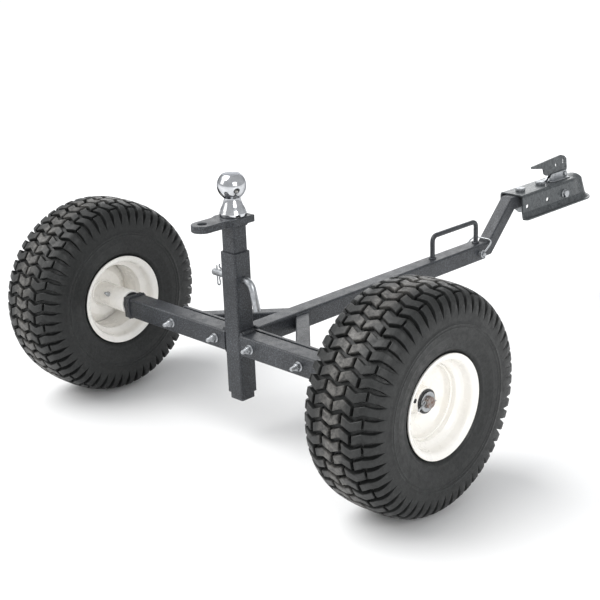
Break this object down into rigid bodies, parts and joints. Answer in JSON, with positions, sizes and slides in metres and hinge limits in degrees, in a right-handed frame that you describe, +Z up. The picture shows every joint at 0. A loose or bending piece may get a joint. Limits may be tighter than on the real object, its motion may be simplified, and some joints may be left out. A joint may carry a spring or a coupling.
{
  "type": "two-wheeled trailer dolly",
  "caption": "Hand dolly for moving small trailers: two pneumatic wheels on a square-tube axle, height-adjustable hitch ball, pinned drawbar with lift handle and a ball coupler.",
  "frame": {"origin": "on the ground plane, midway between the tyres and midway along the overall length", "axes": "+Z up, X along the axle, +Y from the axle towards the coupler nose"},
  "size_m": [0.948, 1.2846, 0.4911],
  "materials": {
    "frame_coat": "charcoal powder coat with a fine texture, satin",
    "coupler_steel": "dark zinc-grey plated pressed steel, satin",
    "rim_paint": "gloss off-white enamel on pressed steel",
    "tyre_rubber": "black tyre rubber, matt with a slight sheen",
    "zinc_plate": "bright zinc plate",
    "ball_chrome": "polished chrome",
    "bare_steel": "bare steel bar, cut end faintly rusted",
    "black_bush": "black moulded bush",
    "valve_rubber": "black snap-in valve rubber"
  },
  "bodies": {
    "frame": {"crossbar_left": "frame_coat", "end_plate_left": "frame_coat", "stub_axle_left": "bare_steel", "brace_left": "frame_coat", "axle_washer_left": "zinc_plate", "cotter_pin_left": "zinc_plate", "crossbar_right": "frame_coat", "end_plate_right": "frame_coat", "stub_axle_right": "bare_steel", "brace_right": "frame_coat", "axle_washer_right": "zinc_plate", "cotter_pin_right": "zinc_plate", "mast_sleeve": "frame_coat", "flange_bar": "frame_coat", "frame_bolt_1": "zinc_plate", "frame_nut_1": "zinc_plate", "frame_bolt_2": "zinc_plate", "frame_nut_2": "zinc_plate", "frame_bolt_3": "zinc_plate", "frame_nut_3": "zinc_plate", "frame_bolt_4": "zinc_plate", "frame_nut_4": "zinc_plate", "drawbar_tube": "frame_coat", "lift_handle": "frame_coat", "crank_arm": "frame_coat", "coupler_body": "coupler_steel", "coupler_bolt_1": "zinc_plate", "coupler_nut_1": "zinc_plate", "coupler_bolt_2": "zinc_plate", "coupler_nut_2": "zinc_plate", "clamp_bolt": "zinc_plate", "clamp_nut": "zinc_plate", "latch_bracket": "zinc_plate", "latch_pin": "zinc_plate"},
    "post": {"ball_post": "frame_coat", "ball_plate": "frame_coat", "hitch_ball": "ball_chrome"},
    "hitch_pin": {"hitch_pin": "zinc_plate", "hitch_pin_clip": "zinc_plate"},
    "lock_pin_set": {"lock_pin": "zinc_plate", "lock_bail": "zinc_plate"},
    "latch_lever": {"latch_lever": "coupler_steel"},
    "ball_clamp": {"ball_clamp": "coupler_steel"},
    "wheel_left": {"tyre_left": "tyre_rubber", "rim_barrel_left": "rim_paint", "wheel_disc_left": "rim_paint", "hub_tube_left": "rim_paint", "bush_outer_left": "black_bush", "bush_inner_left": "black_bush", "grease_nipple_left": "zinc_plate", "valve_stem_left": "valve_rubber"},
    "wheel_right": {"tyre_right": "tyre_rubber", "rim_barrel_right": "rim_paint", "wheel_disc_right": "rim_paint", "hub_tube_right": "rim_paint", "bush_outer_right": "black_bush", "bush_inner_right": "black_bush", "grease_nipple_right": "zinc_plate", "valve_stem_right": "valve_rubber"}
  },
  "joints": [
    {"name": "wheel_left_spin", "type": "hinge", "parent": "frame", "child": "wheel_left", "pos_m": [-0.401, -0.45175, 0.1905], "axis": [1, 0, 0], "continuous": true},
    {"name": "wheel_right_spin", "type": "hinge", "parent": "frame", "child": "wheel_right", "pos_m": [0.401, -0.45175, 0.1905], "axis": [1, 0, 0], "continuous": true},
    {"name": "post_height", "type": "slide", "parent": "frame", "child": "post", "axis": [0, 0, 1], "range_m": [0, 0.1524]},
    {"name": "hitch_pin_swivel", "type": "hinge", "parent": "frame", "child": "hitch_pin", "pos_m": [0, -0.45175, 0.3045], "axis": [1, 0, 0], "continuous": true},
    {"name": "lock_bail_swing", "type": "hinge", "parent": "frame", "child": "lock_pin_set", "pos_m": [0, 0.22825, 0.1887], "axis": [1, 0, 0], "range_deg": [0, 34]},
    {"name": "latch_lift", "type": "hinge", "parent": "frame", "child": "latch_lever", "pos_m": [0, 0.56225, 0.297], "axis": [-1, 0, 0], "range_deg": [0, 55]},
    {"name": "clamp_release", "type": "hinge", "parent": "frame", "child": "ball_clamp", "pos_m": [0, 0.52425, 0.2615], "axis": [-1, 0, 0], "range_deg": [0, 12.1]}
  ],
  "couplings": [
    {"joint": "clamp_release", "follows": "latch_lift", "ratio": 0.2182}
  ]
}
